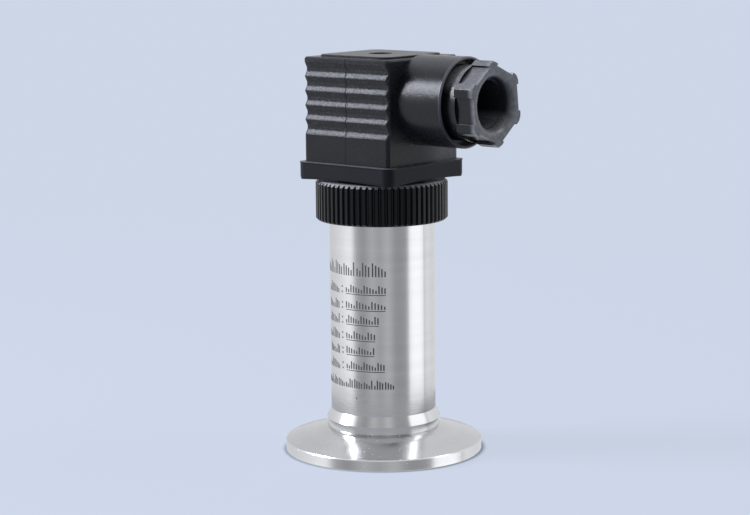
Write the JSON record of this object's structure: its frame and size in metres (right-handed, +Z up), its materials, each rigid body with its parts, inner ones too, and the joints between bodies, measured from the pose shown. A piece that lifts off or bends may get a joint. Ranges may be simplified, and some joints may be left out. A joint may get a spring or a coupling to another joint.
{
  "type": "hygienic pressure transmitter",
  "caption": "Stainless tube with a clamp ferrule and a flush diaphragm below, a ribbed union ring, and a square black ribbed plug with a side cable gland on top.",
  "frame": {"origin": "centre of the sealing face at the bottom of the clamp ferrule, on the tube's axis", "axes": "+Z up the tube to the plug, +X out through the cable gland, -Y the ribbed side above the etched panel"},
  "size_m": [0.0618, 0.0504, 0.1021],
  "materials": {
    "stainless_steel": "fine turned",
    "diaphragm_foil": "smooth foil",
    "cell_steel": "machined",
    "plated_screw": "zinc plated",
    "tinned_brass": "tin plated, bright",
    "gold_pins": "plated",
    "brass": "machined",
    "capacitor_can": "drawn can",
    "black_plastic": "satin moulded, fine grain",
    "ring_plastic": "satin moulded",
    "rubber": "smooth moulded rubber",
    "seal_rubber": "smooth",
    "natural_nylon": "moulded",
    "circuit_board": "solder mask, satin",
    "chip_epoxy": "moulded epoxy",
    "wire_jacket": "soft jacket"
  },
  "bodies": {
    "transmitter": {"clamp_ferrule": "stainless_steel", "isolating_diaphragm": "diaphragm_foil", "sensor_cell": "cell_steel", "fill_ball": "cell_steel", "sensor_seal": "seal_rubber", "retaining_ring": "cell_steel", "sensor_pins": "gold_pins", "housing_tube": "stainless_steel", "board_holder": "natural_nylon", "sensor_board": "circuit_board", "amplifier_board": "circuit_board", "signal_chip": "chip_epoxy", "output_transistor": "chip_epoxy", "filter_capacitors": "capacitor_can", "chip_resistors": "chip_epoxy", "board_socket": "natural_nylon"},
    "head": {"socket_base": "black_plastic", "contact_blades": "tinned_brass", "earth_blade": "tinned_brass", "screw_insert": "brass", "base_seal": "seal_rubber", "board_plug": "natural_nylon", "wire_harness": "wire_jacket"},
    "union_ring": {"union_ring": "ring_plastic"},
    "plug": {"profile_gasket": "rubber", "plug_housing": "black_plastic", "terminal_carrier": "black_plastic", "socket_contacts": "tinned_brass", "terminal_screws": "plated_screw", "gland_seal": "rubber"},
    "screw_washer": {"screw_washer": "rubber"},
    "centre_screw": {"centre_screw": "plated_screw"},
    "gland_washer": {"gland_washer": "natural_nylon"},
    "gland_nut": {"gland_nut": "black_plastic"}
  },
  "joints": [
    {"name": "head_lift", "type": "slide", "parent": "transmitter", "child": "head", "axis": [0, 0, 1], "range_m": [0, 0.006]},
    {"name": "union_ring_turn", "type": "hinge", "parent": "head", "child": "union_ring", "pos_m": [0, 0, 0.065], "axis": [0, 0, 1], "range_deg": [0, 2161]},
    {"name": "plug_pull", "type": "slide", "parent": "head", "child": "plug", "axis": [0, 0, 1], "range_m": [0, 0.02]},
    {"name": "screw_washer_lift", "type": "slide", "parent": "plug", "child": "screw_washer", "axis": [0, 0, 1], "range_m": [0, 0.004]},
    {"name": "centre_screw_turn", "type": "hinge", "parent": "screw_washer", "child": "centre_screw", "pos_m": [0, 0, 0.1], "axis": [0, 0, 1], "range_deg": [0, 2881]},
    {"name": "gland_washer_slide", "type": "slide", "parent": "plug", "child": "gland_washer", "axis": [1, 0, 0], "range_m": [0, 0.006]},
    {"name": "gland_nut_turn", "type": "hinge", "parent": "gland_washer", "child": "gland_nut", "pos_m": [0.03, 0, 0.0908], "axis": [1, 0, 0], "range_deg": [0, 1441]}
  ],
  "couplings": [
    {"joint": "union_ring_turn", "follows": "head_lift", "rad_per_m": 6283.2},
    {"joint": "centre_screw_turn", "follows": "screw_washer_lift", "rad_per_m": 12566},
    {"joint": "gland_nut_turn", "follows": "gland_washer_slide", "rad_per_m": 4188.8}
  ]
}
